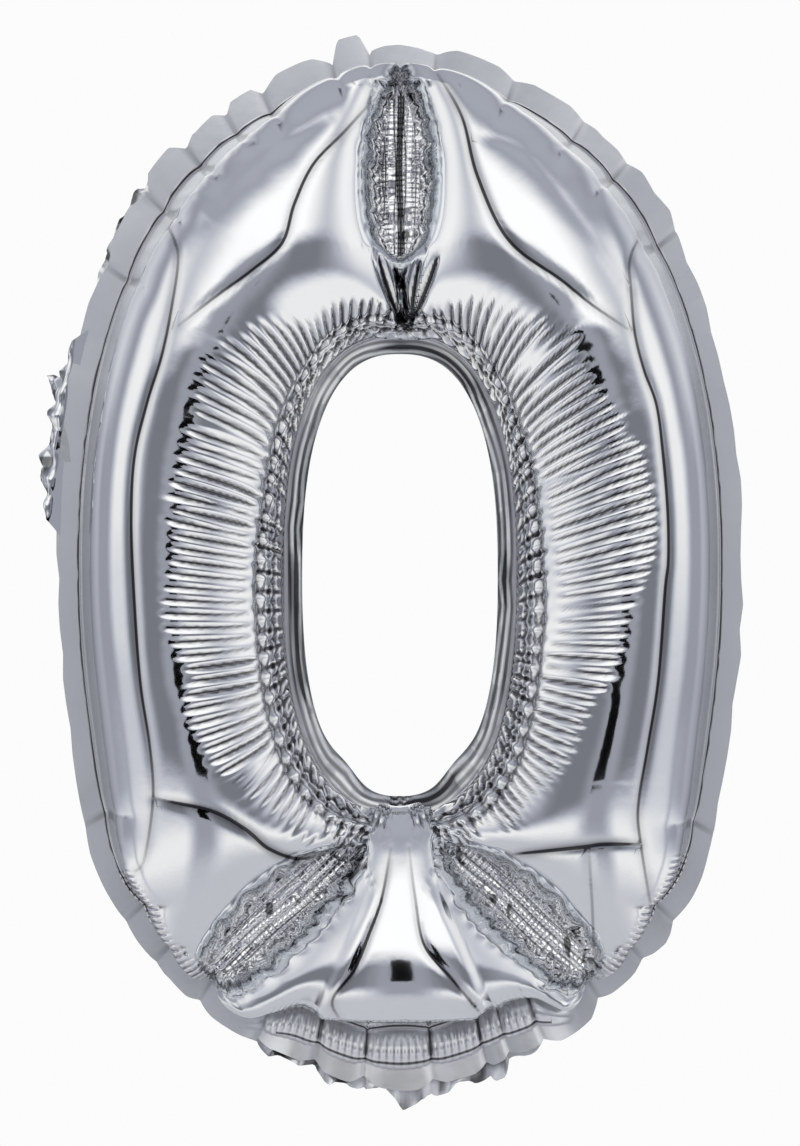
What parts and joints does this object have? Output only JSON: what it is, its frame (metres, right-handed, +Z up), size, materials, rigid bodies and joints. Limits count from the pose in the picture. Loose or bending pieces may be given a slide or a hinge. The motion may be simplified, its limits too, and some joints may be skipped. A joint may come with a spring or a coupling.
{
  "type": "foil number balloon",
  "caption": "Inflated foil balloon shaped as the digit zero, with a sealed flange, welds that divide its ring into chambers, and a folded inflation tail.",
  "frame": {"origin": "the hang point, in the middle of the flange's width at the top of the digit, on the seam plane", "axes": "+X to the right across the digit, +Y backwards through its depth, +Z up its height"},
  "size_m": [0.2359, 0.0827, 0.3458],
  "materials": {
    "foil": "mirror-bright metallised film",
    "bond": "clear fused sealant",
    "valve": "clear thin film"
  },
  "bodies": {
    "balloon": {"front_panel": "foil", "back_panel": "foil", "outer_seam_bond": "bond", "inner_seam_bond": "bond", "top_weld": "bond", "lower_right_weld": "bond", "lower_left_weld": "bond", "valve_front_film": "valve", "valve_back_film": "valve", "valve_edge_seals": "bond"},
    "tail": {"tail_front_ply": "foil", "tail_back_ply": "foil", "tail_edge_bond": "bond", "tail_valve_front_film": "valve", "tail_valve_back_film": "valve"}
  },
  "joints": [
    {"name": "tail_fold", "type": "hinge", "parent": "balloon", "child": "tail", "pos_m": [-0.11335, 0, -0.124], "axis": [0.1391, 0, 0.9903], "range_deg": [-21, 189]}
  ]
}
